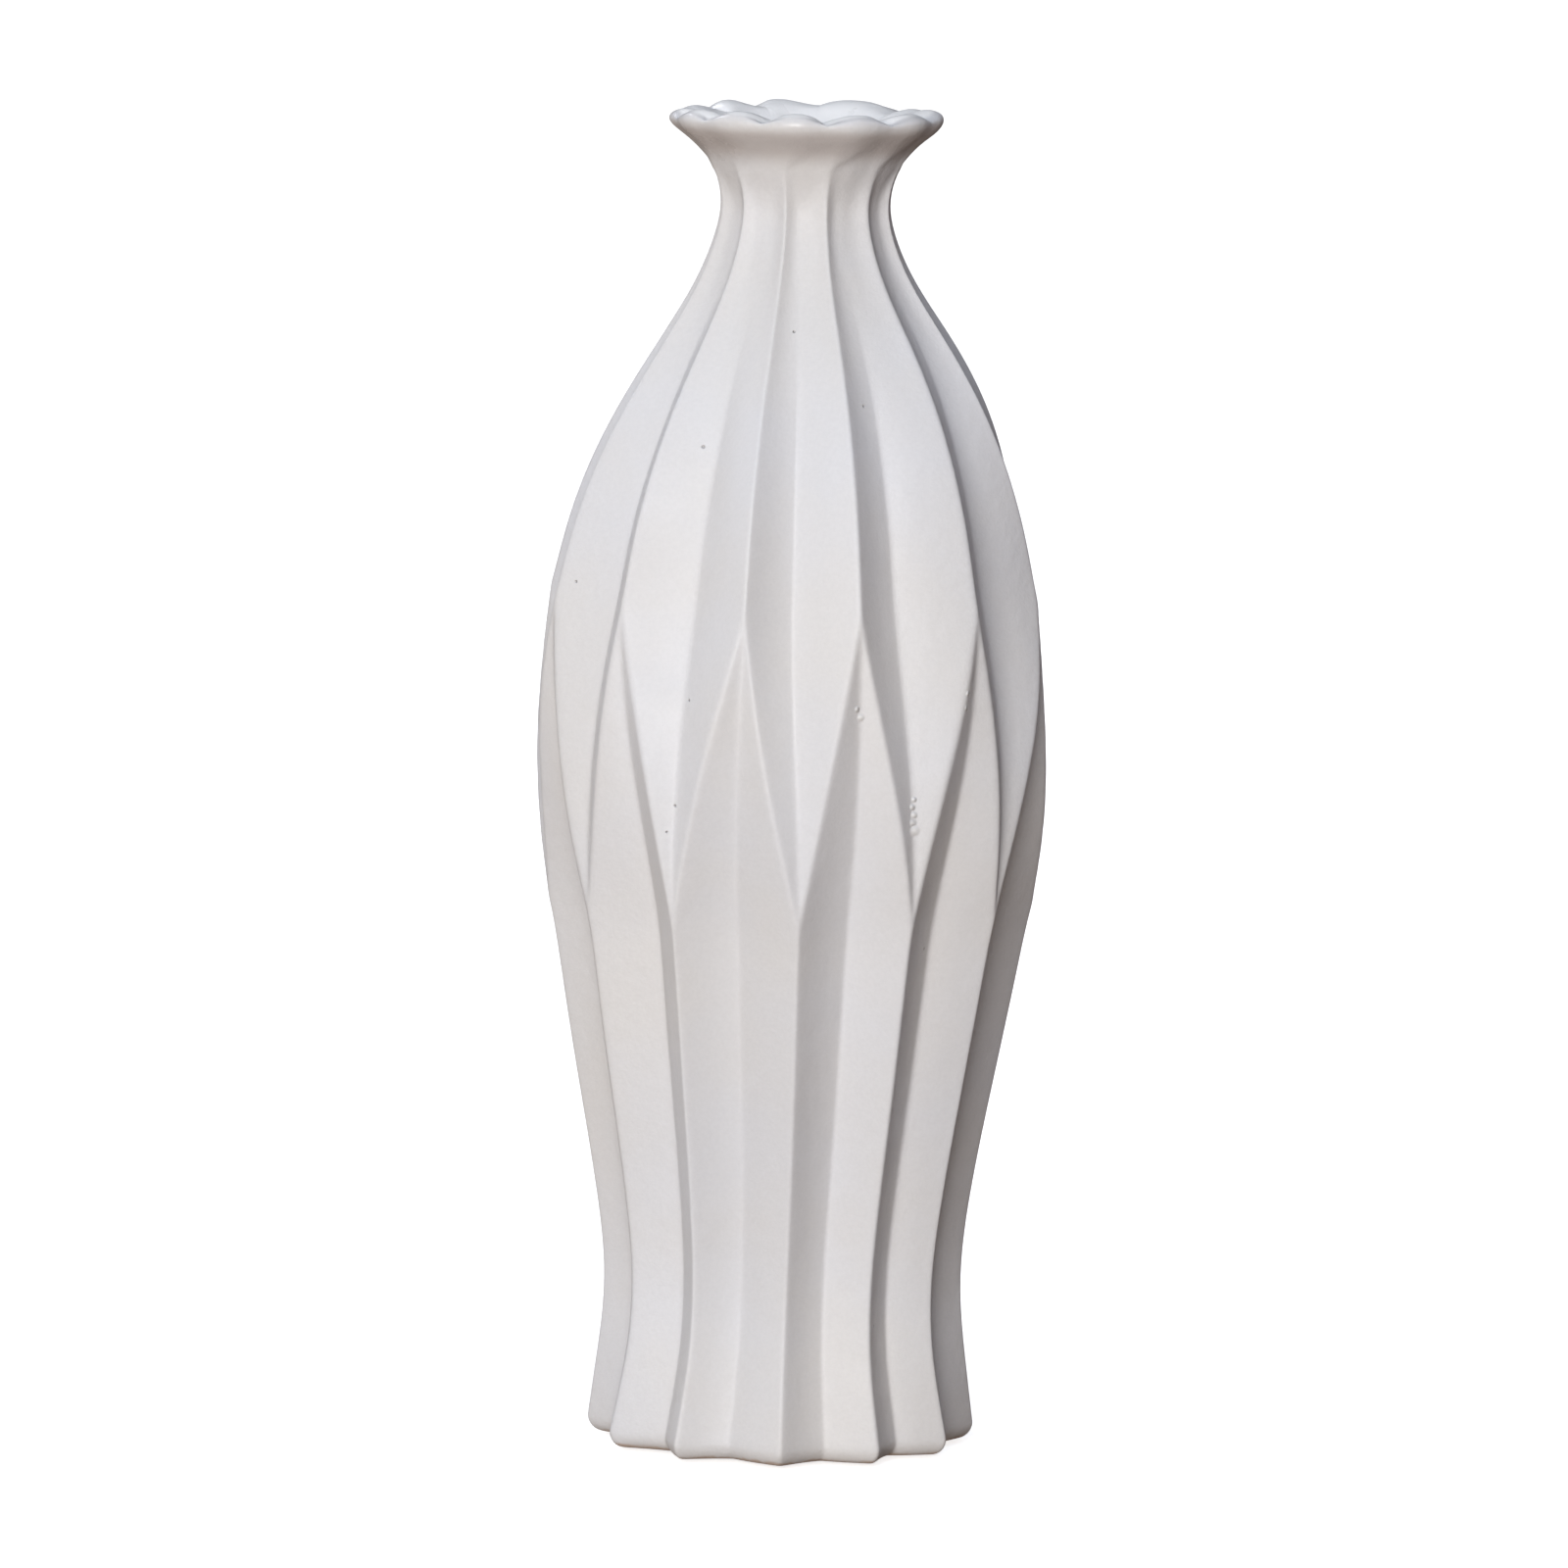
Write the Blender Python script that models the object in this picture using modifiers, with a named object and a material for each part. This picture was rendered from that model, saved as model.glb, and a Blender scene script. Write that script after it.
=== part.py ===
"""Ceramic bud vase: a pleated body, a scalloped lip, a floor disc and four foot pads.

Metres, +Z up. The origin is the centre of the footprint, on the surface that the pads stand on.
The front of the vase faces -Y. Azimuths run anticlockwise from +X, seen from above.
"""

import math

import bmesh
import bpy

# Driving dimensions
HEIGHT = 0.210
BELLY_RADIUS = 0.0406
WALL = 0.0030
GAP = 0.0003

# Pleats. The lower folds have their ridges where the upper folds have their valleys.
PLEATS = 12
PLEAT_TURN = math.radians(2.0)
PLEAT_DEPTH = 0.14
FLUTE_DEPTH = 0.08
FLUTE_START = 0.150
FLUTE_END = 0.195
LOWER_TIPS = 0.087
UPPER_TIPS = 0.1335
FLAT_FOLD = math.radians(180 / PLEATS / 2)
TIP_WIDTH = math.radians(0.4)
TIP_BLEND = 0.006
SLOPE_STEP = 0.001
LEAST_WIDTH = 1e-6

# Outer radius along the ridges, as (height, radius) from the foot to the neck joint
RIDGE_PROFILE = (
    (0.000, 0.0309),
    (0.003, 0.0308),
    (0.012, 0.0294),
    (0.025, 0.0282),
    (0.040, 0.0298),
    (0.060, 0.0334),
    (0.080, 0.0372),
    (0.096, 0.0397),
    (0.111, BELLY_RADIUS),
    (0.126, 0.0399),
    (0.140, 0.0377),
    (0.154, 0.0334),
    (0.166, 0.0279),
    (0.176, 0.0217),
    (0.184, 0.0169),
    (0.190, 0.0145),
    (0.195, 0.0137),
    (0.199, 0.0142),
    (0.203, 0.0163),
)

# Foot
PAD_STAND = 0.0010
FOOT_EDGE = 0.0026
FOOT_EDGE_ROWS = 4
RECESS = 0.0016
FLOOR_THICK = 0.0040
FLOOR_RADIUS = 0.0222
FLOOR_BEVEL = 0.0004
FLOOR_FILLET_TOP = 0.014
FLOOR_STEPS = 4 * PLEATS
WELD_DISTANCE = 1e-5

# Pads
PADS = 4
PAD_RADIUS = 0.0045
PAD_CIRCLE = 0.0150
PAD_BEVEL = 0.0004
PAD_BEVEL_STEPS = 2
PAD_SIDES = 28

# Lip
LIP_JOINT = 0.2012
SCALLOPS = 12
SCALLOP_TURN = math.radians(10.0)
SCALLOP_DROP = 0.0013
SCALLOP_INSET = 0.0008
LIP_SIDES = 6 * SCALLOPS

# Cross-section of the lip as (height below the top, radius, share of the scallop), from the joint
# under the flare, round the edge, over the crest and down inside to the joint again
LIP_SECTION = (
    (0.0084, 0.0150, 0.0),
    (0.0066, 0.0167, 0.0),
    (0.0048, 0.0187, 0.1),
    (0.0032, 0.0205, 0.4),
    (0.0020, 0.0213, 0.8),
    (0.0010, 0.0211, 1.0),
    (0.0003, 0.0201, 1.0),
    (0.0000, 0.0183, 0.9),
    (0.0000, 0.0162, 0.7),
    (0.0008, 0.0142, 0.4),
    (0.0028, 0.0124, 0.1),
    (0.0056, 0.0111, 0.0),
    (0.0084, 0.0105, 0.0),
)

# Heights of the rings that make the body, between the foot edge and the neck joint
LOWER_ROWS = (0.009, 0.017, 0.025, 0.034, 0.044, 0.055, 0.066, 0.077)
BAND_ROWS = 8
UPPER_ROWS = (0.142, 0.149, 0.156, 0.162, 0.168, 0.173, 0.178, 0.182, 0.186, 0.190, 0.194, 0.198)
INNER_ROWS = (0.196, 0.190, 0.184, 0.177, 0.168, 0.156, 0.142, 0.126, 0.110, 0.094, 0.076, 0.056, 0.038, 0.025)

# Colours, roughness of each finish, and the bend in degrees above which an edge is shaded sharp
CERAMIC_WHITE = (0.73, 0.72, 0.73, 1.0)
BISCUIT_WHITE = (0.66, 0.62, 0.58, 1.0)
PAD_GREY = (0.045, 0.043, 0.042, 1.0)
BODY_ROUGHNESS = 0.35
LIP_ROUGHNESS = 0.30
BISCUIT_ROUGHNESS = 0.85
PAD_ROUGHNESS = 0.75
BODY_EDGE_BEND = 18
LIP_EDGE_BEND = 50
PAD_EDGE_BEND = 40


def clear_scene():
    for thing in list(bpy.data.objects):
        bpy.data.objects.remove(thing, do_unlink=True)


def new_collection(name):
    collection = bpy.data.collections.new(name)
    bpy.context.scene.collection.children.link(collection)
    return collection


def new_material(name, colour, roughness):
    material = bpy.data.materials.new(name)
    material.use_nodes = True
    shader = material.node_tree.nodes["Principled BSDF"]
    shader.inputs["Base Color"].default_value = colour
    shader.inputs["Roughness"].default_value = roughness
    shader.inputs["Metallic"].default_value = 0.0
    return material


def new_object(name, mesh, material, collection):
    thing = bpy.data.objects.new(name, mesh)
    thing.data.materials.append(material)
    collection.objects.link(thing)
    return thing


def ramp(value, low, high):
    """0 below low, 1 above high, and a smooth step between."""
    share = min(max((value - low) / (high - low), 0.0), 1.0)
    return share * share * (3.0 - 2.0 * share)


def slope_at(points, i):
    """Slope of a smooth curve at its i-th point, from the points on either side."""
    before = points[max(i - 1, 0)]
    after = points[min(i + 1, len(points) - 1)]
    return (after[1] - before[1]) / (after[0] - before[0])


def curve_at(points, height):
    """Radius at a height on the smooth curve through (height, radius) points."""
    i = 0
    while i < len(points) - 2 and height > points[i + 1][0]:
        i += 1
    span = points[i + 1][0] - points[i][0]
    t = (height - points[i][0]) / span
    start = points[i][1] * (1 + 2 * t) * (1 - t) ** 2 + slope_at(points, i) * span * t * (1 - t) ** 2
    end = points[i + 1][1] * t * t * (3 - 2 * t) - slope_at(points, i + 1) * span * t * t * (1 - t)
    return start + end


def ridge_radius(height):
    return curve_at(RIDGE_PROFILE, height)


def wall_steepness(height):
    """How much longer the wall is along the radius than across it, where the profile leans."""
    above = ridge_radius(height + SLOPE_STEP)
    below = ridge_radius(height - SLOPE_STEP)
    rise = (above - below) / (2 * SLOPE_STEP)
    return math.hypot(1.0, rise)


def leg_azimuth(height):
    """Azimuth of the ridge, from the middle of an upper fold: it crosses half a pleat in the band."""
    share = (height - LOWER_TIPS) / (UPPER_TIPS - LOWER_TIPS)
    return math.pi / PLEATS * min(max(share, 0.0), 1.0)


def straight_fold(valley, ridge, share, width):
    """Radius on the flat face between a valley and a ridge that lie width apart."""
    across = valley * math.sin(share * width) + ridge * math.sin((1 - share) * width)
    return valley * ridge * math.sin(width) / across if width > LEAST_WIDTH else ridge


def pleat_radius(height, fold):
    """Outer radius at a height and at fold, the azimuth from the middle of an upper fold."""
    half = math.pi / PLEATS
    ridge = ridge_radius(height)
    leg = leg_azimuth(height)
    roundness = ramp(height, FLUTE_START, FLUTE_END)
    depth = PLEAT_DEPTH + (FLUTE_DEPTH - PLEAT_DEPTH) * roundness
    if fold <= leg:
        width, share = leg, fold / max(leg, LEAST_WIDTH)
    else:
        width, share = half - leg, (half - fold) / max(half - leg, LEAST_WIDTH)
    drop = depth * width / half
    flat = straight_fold(ridge * (1 - drop), ridge, share, width)
    flute = ridge * (1 - drop * (1 - share * share))
    return flat + (flute - flat) * roundness


def fold_columns(height):
    """Azimuths of one pleat's four columns. The second and the fourth follow the zigzag ridge."""
    half = math.pi / PLEATS
    leg = min(max(leg_azimuth(height), TIP_WIDTH), half - TIP_WIDTH)
    relax = ramp(height, UPPER_TIPS, UPPER_TIPS + TIP_BLEND)
    relax += 1 - ramp(height, LOWER_TIPS - TIP_BLEND, LOWER_TIPS)
    leg += (FLAT_FOLD - leg) * relax
    return ((0.0, 0.0), (leg, leg), (half, half), (2 * half - leg, leg))


def pleated_ring(height, inward=0.0):
    """One ring of points round the pleats, moved in by inward."""
    ring = []
    for pleat in range(PLEATS):
        start = PLEAT_TURN - math.pi / 2 + 2 * math.pi * pleat / PLEATS
        for turn, fold in fold_columns(height):
            radius = pleat_radius(height, fold) - inward
            azimuth = start + turn
            ring.append((radius * math.cos(azimuth), radius * math.sin(azimuth), height))
    return ring


def round_ring(height, radius):
    """A ring with one point on each of the pleats' columns, on a true circle."""
    return [
        (x * radius / math.hypot(x, y), y * radius / math.hypot(x, y), height)
        for x, y, _ in pleated_ring(height)
    ]


def loft(name, rings):
    """A closed tube of quads through rings, each joined to the next and the last to the first."""
    shape = bmesh.new()
    loops = [[shape.verts.new(point) for point in ring] for ring in rings]
    for i, lower in enumerate(loops):
        upper = loops[(i + 1) % len(loops)]
        for j in range(len(lower)):
            k = (j + 1) % len(lower)
            shape.faces.new((lower[j], lower[k], upper[k], upper[j]))
    mesh = bpy.data.meshes.new(name)
    shape.to_mesh(mesh)
    shape.free()
    return mesh


def body_rings():
    foot = PAD_STAND
    rings = []
    for row in range(FOOT_EDGE_ROWS):
        angle = math.pi / 2 * row / FOOT_EDGE_ROWS
        level = foot + FOOT_EDGE * (1 - math.cos(angle))
        rings.append(pleated_ring(level, FOOT_EDGE * (1 - math.sin(angle))))
    band = [LOWER_TIPS + (UPPER_TIPS - LOWER_TIPS) * row / BAND_ROWS for row in range(BAND_ROWS + 1)]
    heights = [foot + FOOT_EDGE, *LOWER_ROWS, LOWER_TIPS - TIP_BLEND, *band, UPPER_TIPS + TIP_BLEND]
    heights += [*UPPER_ROWS, LIP_JOINT]
    rings += [pleated_ring(height) for height in heights]
    rings += [pleated_ring(height, WALL * wall_steepness(height)) for height in (LIP_JOINT, *INNER_ROWS)]
    rings.append(pleated_ring(FLOOR_FILLET_TOP, WALL))
    rings.append(round_ring(PAD_STAND + RECESS + FLOOR_THICK, FLOOR_RADIUS + GAP))
    rings.append(round_ring(foot, FLOOR_RADIUS + GAP))
    return rings


def scallop(azimuth):
    """0 in the middle of a scallop and 1 in the notch between two."""
    turns = SCALLOPS * (azimuth - SCALLOP_TURN + math.pi / 2) / 2
    return 1 - abs(math.sin(turns))


def lip_rings():
    rings = []
    for below, radius, share in LIP_SECTION:
        ring = []
        for side in range(LIP_SIDES):
            azimuth = SCALLOP_TURN - math.pi / 2 + 2 * math.pi * side / LIP_SIDES
            notch = share * scallop(azimuth)
            out = radius - SCALLOP_INSET * notch
            z = HEIGHT - below - SCALLOP_DROP * notch
            ring.append((out * math.cos(azimuth), out * math.sin(azimuth), z))
        rings.append(ring)
    return rings


def floor_disc(name, material, collection):
    """A turned disc: its profile runs from the middle of the top, out and down, to the middle below."""
    low = PAD_STAND + RECESS
    high = low + FLOOR_THICK
    cut = FLOOR_BEVEL
    profile = (
        (0.0, high),
        (FLOOR_RADIUS - cut, high),
        (FLOOR_RADIUS, high - cut),
        (FLOOR_RADIUS, low + cut),
        (FLOOR_RADIUS - cut, low),
        (0.0, low),
    )
    mesh = bpy.data.meshes.new(name)
    edges = [(i, i + 1) for i in range(len(profile) - 1)]
    mesh.from_pydata([(radius, 0.0, z) for radius, z in profile], edges, [])
    disc = new_object(name, mesh, material, collection)
    screw = disc.modifiers.new("turn", "SCREW")
    screw.axis = "Z"
    screw.angle = 2 * math.pi
    screw.steps = FLOOR_STEPS
    screw.render_steps = screw.steps
    screw.use_merge_vertices = True
    screw.merge_threshold = WELD_DISTANCE
    return disc


def foot_pad(number, material, collection):
    shape = bmesh.new()
    thick = PAD_STAND + RECESS - GAP
    bmesh.ops.create_cone(
        shape,
        cap_ends=True,
        segments=PAD_SIDES,
        radius1=PAD_RADIUS,
        radius2=PAD_RADIUS,
        depth=thick,
    )
    name = f"foot_pad_{number + 1}"
    mesh = bpy.data.meshes.new(name)
    shape.to_mesh(mesh)
    shape.free()
    pad = new_object(name, mesh, material, collection)
    azimuth = 2 * math.pi * (number + 0.5) / PADS
    pad.location = (PAD_CIRCLE * math.cos(azimuth), PAD_CIRCLE * math.sin(azimuth), thick / 2)
    bevel = pad.modifiers.new("edge", "BEVEL")
    bevel.width = PAD_BEVEL
    bevel.segments = PAD_BEVEL_STEPS
    bevel.limit_method = "ANGLE"
    return pad


def smooth(thing, angle):
    thing.data.shade_smooth()
    thing.data.set_sharp_from_angle(angle=math.radians(angle))


def main():
    clear_scene()
    vase = new_collection("bud_vase")
    glaze = new_material("white_glaze", CERAMIC_WHITE, BODY_ROUGHNESS)
    lip_glaze = new_material("lip_glaze", CERAMIC_WHITE, LIP_ROUGHNESS)
    biscuit = new_material("bare_biscuit", BISCUIT_WHITE, BISCUIT_ROUGHNESS)
    rubber = new_material("pad_rubber", PAD_GREY, PAD_ROUGHNESS)

    body = new_object("pleated_body", loft("pleated_body", body_rings()), glaze, vase)
    smooth(body, BODY_EDGE_BEND)
    lip = new_object("scalloped_lip", loft("scalloped_lip", lip_rings()), lip_glaze, vase)
    smooth(lip, LIP_EDGE_BEND)
    floor_disc("base_plate", biscuit, vase)
    for number in range(PADS):
        smooth(foot_pad(number, rubber, vase), PAD_EDGE_BEND)


main()
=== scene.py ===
"""Looks for the ceramic bud vase.

The glazed skin is one pleated shape in two pieces, the body and the scalloped lip. Inside it lies the
biscuit floor disc, and the frame's own foot pads carry it. A plain pale studio stands round it.
"""

import math

import bpy
import numpy as np
from mathutils import Matrix, Vector


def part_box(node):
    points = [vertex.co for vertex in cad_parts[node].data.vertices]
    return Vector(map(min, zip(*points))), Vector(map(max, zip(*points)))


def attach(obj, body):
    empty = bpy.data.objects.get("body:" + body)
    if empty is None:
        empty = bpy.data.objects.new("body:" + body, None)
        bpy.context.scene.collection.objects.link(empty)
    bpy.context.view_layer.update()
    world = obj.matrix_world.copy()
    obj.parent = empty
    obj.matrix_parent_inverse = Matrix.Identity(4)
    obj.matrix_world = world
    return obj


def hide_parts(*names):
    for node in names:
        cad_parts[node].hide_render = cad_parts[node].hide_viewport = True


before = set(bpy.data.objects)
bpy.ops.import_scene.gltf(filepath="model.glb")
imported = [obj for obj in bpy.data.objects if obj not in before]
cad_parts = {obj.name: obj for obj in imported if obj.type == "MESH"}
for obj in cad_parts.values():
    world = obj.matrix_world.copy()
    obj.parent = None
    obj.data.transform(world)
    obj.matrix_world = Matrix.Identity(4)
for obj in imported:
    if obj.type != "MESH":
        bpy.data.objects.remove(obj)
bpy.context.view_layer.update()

# The skin's foot edge reaches a little lower than the frame's, and the floor disc a little wider.
FOOT_REACH = 0.5
FLOOR_REACH = 0.25

# The frame gives the size and the levels. All other lengths are millimetres on a vase 210 mm tall
# unless a comment says otherwise, and MM is one such millimetre in metres.
BODY_LOW, BODY_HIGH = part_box("pleated_body")
FLOOR_LOW, FLOOR_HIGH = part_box("base_plate")
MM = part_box("scalloped_lip")[1].z / 210
FOOT = BODY_LOW.z / MM - FOOT_REACH
JOINT = BODY_HIGH.z / MM
FLOOR_TOP = FLOOR_HIGH.z / MM
FLOOR_UNDER = FLOOR_LOW.z / MM
FLOOR_RADIUS = FLOOR_HIGH.x / MM + FLOOR_REACH
VASE_MIDDLE = 105

# Azimuths are degrees from the front, growing to the right. A fold is a place in one pleat, in
# degrees: an upper pleat has its valleys at 0 and 30 and its ridge at 15, and a lower pleat the other
# way round.
PLEATS = 12
PLEAT = 360 / PLEATS
HALF_PLEAT = PLEAT / 2
PLEAT_START = 2.0

# The zigzag between the upper and the lower pleats has its tips at two heights.
LOWER_TIPS = 85.0
UPPER_TIPS = 135.5
BAND_GROWTH = 0.0986
BAND_SHARPNESS = 12.0

# Depths and bends are shares of the radius along the ridges. Rounded flutes take over from the flat
# faces between two heights, and fade out between two others.
PLEAT_DEPTH = 0.16
FACE_BEND = 0.011
FLUTE_DEPTH = 0.12
FLUTE_POWER = 3.0
FLUTE_HEIGHTS = (155.0, 192.0)
FLUTE_FADE = (194.5, 204.5)
FOLD_SOFTNESS = 0.36

# How far each fold stands off its regular azimuth, for the upper and the lower pleats, two folds to a
# pair. A pair is an upper valley and ridge, or a lower ridge and valley, from the front to the right.
UPPER_SHIFTS = (
    (-2.4, -1.6), (-3.5, 0.6), (2.0, 4.0), (2.6, 1.8), (0.9, 0.6), (-0.8, 0.8),
    (-0.4, -0.5), (0.9, 0.3), (0.5, 0.9), (1.5, 1.2), (2.5, 0.0), (0.5, 1.5),
)
LOWER_SHIFTS = (
    (0.3, -0.3), (-1.8, -3.1), (-5.0, -3.6), (-2.0, -1.2), (-0.6, 0.2), (0.4, 0.9),
    (0.7, -0.5), (-0.3, 0.6), (0.5, -0.4), (0.8, 0.0), (2.6, 3.8), (-0.3, -1.2),
)

# The folds turn a little towards the foot, and just above it they spread to both sides.
FOOT_TWIST = -2.5
FOOT_TWIST_HEIGHTS = (-31.0, 62.0)
FOOT_SPREAD = 5.5
FOOT_SPREAD_HEIGHTS = (-5.0, 20.0)

# On the right, two upper ridges lean forward above the belly.
LEAN = -14.0
LEAN_MIDDLE = 95.0
LEAN_WIDTH = 15.0
LEAN_HEIGHTS = (138.0, 176.0)

# Outline along the ridges, over the lip and into the neck: (height, radius, share of the scallop)
OUTLINE = (
    (1.0, 31.00, 0.0),
    (12.0, 29.55, 0.0),
    (25.0, 28.40, 0.0),
    (40.0, 29.80, 0.0),
    (60.0, 33.40, 0.0),
    (80.0, 36.95, 0.0),
    (96.0, 39.45, 0.0),
    (111.0, 40.55, 0.0),
    (126.0, 39.90, 0.0),
    (140.0, 37.80, 0.0),
    (154.0, 33.80, 0.0),
    (166.0, 28.35, 0.0),
    (176.0, 22.35, 0.0),
    (184.0, 17.50, 0.0),
    (190.0, 14.95, 0.0),
    (195.0, 13.90, 0.0),
    (199.6, 14.45, 0.0),
    (202.0, 15.45, 0.0),
    (204.3, 17.05, 0.0),
    (205.9, 18.75, 0.0),
    (207.4, 20.60, 0.0),
    (208.4, 21.40, 0.0),
    (209.2, 21.60, 0.05),
    (209.9, 21.30, 0.4),
    (210.4, 20.50, 0.9),
    (210.7, 19.20, 1.0),
    (210.5, 17.60, 0.75),
    (209.8, 15.80, 0.35),
    (208.1, 13.80, 0.1),
    (205.6, 12.00, 0.0),
    (202.6, 10.90, 0.0),
    (199.0, 10.20, 0.0),
)

# How far the wall leans off the axis to the right: (height, distance)
SWAY = (
    (0.0, 0.3),
    (30.0, 0.15),
    (60.0, 0.0),
    (88.0, 0.22),
    (106.0, 0.0),
    (131.0, -0.5),
    (150.0, -0.05),
    (162.0, 0.65),
    (174.0, 1.0),
    (187.0, 0.45),
    (198.0, 0.3),
    (206.0, 0.3),
    (211.0, 0.35),
)

# Slow waves in the hand-finished wall: (waves round the axis, radians of turn per millimetre of
# height). A second and weaker set of waves turns the other way.
WAVES = ((2, 0.011), (3, 0.017), (5, 0.025), (7, 0.04), (11, 0.055), (17, 0.09), (23, 0.13))
WAVE_SEED = 12
WAVE_SIZE = 0.055
COUNTER_SIZE = 0.6
COUNTER_TURN = -1.7

# The notches between the scallops, going right: (azimuth, share of the full depth, how far the next
# scallop stands below the rim's mean level)
NOTCHES = (
    (10.0, 1.20, -0.15),
    (40.8, 1.25, 0.0),
    (69.5, 1.10, -0.2),
    (97.5, 0.85, 0.65),
    (125.5, 0.80, 0.0),
    (172.0, 0.60, 0.1),
    (203.0, 0.80, 0.0),
    (230.5, 1.15, 0.5),
    (257.5, 0.35, 0.45),
    (283.5, 1.10, 0.0),
    (310.5, 1.20, -0.35),
    (341.2, 1.30, -0.3),
)
NOTCH_DROP = 1.5
NOTCH_INSET = 0.5
NOTCH_POWER = 2.3

# Going right, a scallop's crest lies past the middle between its notches: a little in front, and
# more at the back.
CREST_LEAN = 1.45
CREST_LEAN_SWING = 0.4

# The heights between which the rim's level sets in, the pleats' azimuths turn into the scallops', and
# the inside of the lip eases into the inner wall
RIM_FALL_HEIGHTS = (206.5, 210.2)
LIP_TURN_HEIGHTS = (201.5, 206.0)
INNER_BLEND_TOP = 207.0

# Wall and foot. The inner wall ends a little above the floor, and slants down to the floor's edge.
WALL = 3.0
NECK_WALL = 3.9
NECK_BOTTOM = 184
WALL_SOFTNESS = 3.5
WALL_END = 2.5
FOOT_EDGE = 2.6
FOOT_EDGE_ROWS = 8
FOOT_BEVEL = 0.5
BEVEL_BULGE = 0.3

# The floor disc, with a shallow dish on both sides. The faint rings that turning left in it are (size,
# radians per millimetre outwards).
TURNING_RINGS = ((0.05, 2.1), (0.03, 5.3))
DISH = 0.5
DISH_WIDTH = 9.0
DISC_HOLE = 0.35
DISC_BEVEL = 0.6
DISC_BEVEL_UNDER = 0.4
DISC_BEVEL_TOP = 0.1
DISC_ROWS = 60
DISC_COLUMNS = 96

# The table's level in millimetres, and the radii of its rings in metres
TABLE_LEVEL = -0.05
TABLE_RADII = (4.0, 2.0, 1.0, 0.5, 0.25, 0.1, 0.02)
TABLE_COLUMNS = 128

# Mesh
COLUMNS_PER_HALF = 15
COLUMN_GATHER = 2.5
GATHER_WIDTH = 1.2
GATHER_SAMPLES = 301
OUTLINE_SAMPLES = 12000
ROW_STEP = 1.0
LIP_ROW_STEP = 0.4
INNER_ROW_STEP = 4.0
FOLD_STEP = 0.05
FINE_FOLDS = np.arange(0, PLEAT, FOLD_STEP)


def smooth_step(value, low, high):
    share = np.clip((value - low) / (high - low), 0.0, 1.0)
    return share * share * (3 - 2 * share)


def mix(start, end, share):
    return start + (end - start) * share


def bell(distance, width):
    return np.exp(-0.5 * (distance / width) ** 2)


def spline(knots, values):
    """A function for the natural cubic spline through values at rising knots."""
    gaps = np.diff(knots)
    slopes = np.diff(values) / gaps
    system = np.eye(len(knots))
    turns = np.zeros(len(knots))
    for i in range(1, len(knots) - 1):
        system[i, i - 1 : i + 2] = gaps[i - 1], 2 * (gaps[i - 1] + gaps[i]), gaps[i]
        turns[i] = 6 * (slopes[i] - slopes[i - 1])
    bends = np.linalg.solve(system, turns)

    def at(x):
        i = np.clip(np.searchsorted(knots, x) - 1, 0, len(gaps) - 1)
        before, after, gap = x - knots[i], knots[i + 1] - x, gaps[i]
        curve = (bends[i] * after**3 + bends[i + 1] * before**3) / (6 * gap)
        start = values[i] / gap - bends[i] * gap / 6
        end = values[i + 1] / gap - bends[i + 1] * gap / 6
        return curve + start * after + end * before

    return at


def lengths_along(path):
    steps = np.hypot(np.diff(path[:, 0]), np.diff(path[:, 1]))
    return np.concatenate(([0.0], np.cumsum(steps)))


def spaced(path, step):
    """The same path with its points about step apart."""
    along = lengths_along(path)
    places = np.linspace(0, along[-1], round(along[-1] / step) + 1)
    return np.stack([np.interp(places, along, column) for column in path.T], axis=1)


def outline_paths():
    """The outline above the foot edge, as rows of (height, radius, scallop).

    It comes in two parts that meet at the joint: the body's and the lip's.
    """
    points = np.array(OUTLINE)
    along = lengths_along(points)
    places = np.linspace(0, along[-1], OUTLINE_SAMPLES)
    fine = np.stack([spline(along, column)(places) for column in points.T], axis=1)
    fine[:, 2] = np.clip(np.interp(places, along, points[:, 2]), 0, 1)
    foot = np.argmax(fine[:, 0] >= FOOT + FOOT_EDGE)
    joint = np.argmax(fine[:, 0] >= JOINT)
    inside = joint + 1 + np.argmax(fine[joint + 1 :, 0] < JOINT)
    return fine[foot : joint + 1], fine[joint : inside + 1]


BODY_PATH, LIP_PATH = outline_paths()
sway = spline(*np.array(SWAY).T)


def ridge_radius(height):
    return np.interp(height, BODY_PATH[:, 0], BODY_PATH[:, 1])


def fold_growth(height):
    """How far the upper and the lower folds are scaled up.

    Each set grows past the other's end, where the other one cuts it off.
    """
    middle = (LOWER_TIPS + UPPER_TIPS) / 2
    place = (middle - height) / (UPPER_TIPS - middle)
    rise = np.logaddexp(0, BAND_SHARPNESS * (1 + np.array((place, -place)))) / BAND_SHARPNESS
    return 1 + BAND_GROWTH * rise


def leg_fold(height):
    """The zigzag ridge's place in a half pleat: 0 below the band and HALF_PLEAT above it."""
    upper, lower = fold_growth(height)
    share = (lower - upper * (1 - PLEAT_DEPTH)) / (PLEAT_DEPTH * (upper + lower))
    return HALF_PLEAT * float(np.clip(share, 0, 1))


def gathered_folds(leg):
    """Where one pleat's columns lie: closest together at the folds and at the zigzag ridge."""
    fine = np.linspace(0, HALF_PLEAT, GATHER_SAMPLES)
    folds = bell(fine, GATHER_WIDTH) + bell(fine - HALF_PLEAT, GATHER_WIDTH)
    folds += bell(fine - leg, GATHER_WIDTH)
    total = np.cumsum(1 + COLUMN_GATHER * folds)
    total = (total - total[0]) / (total[-1] - total[0])
    half = np.interp(np.linspace(0, 1, COLUMNS_PER_HALF + 1), total, fine)
    return np.concatenate((half[:-1], PLEAT - half[:0:-1]))


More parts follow.
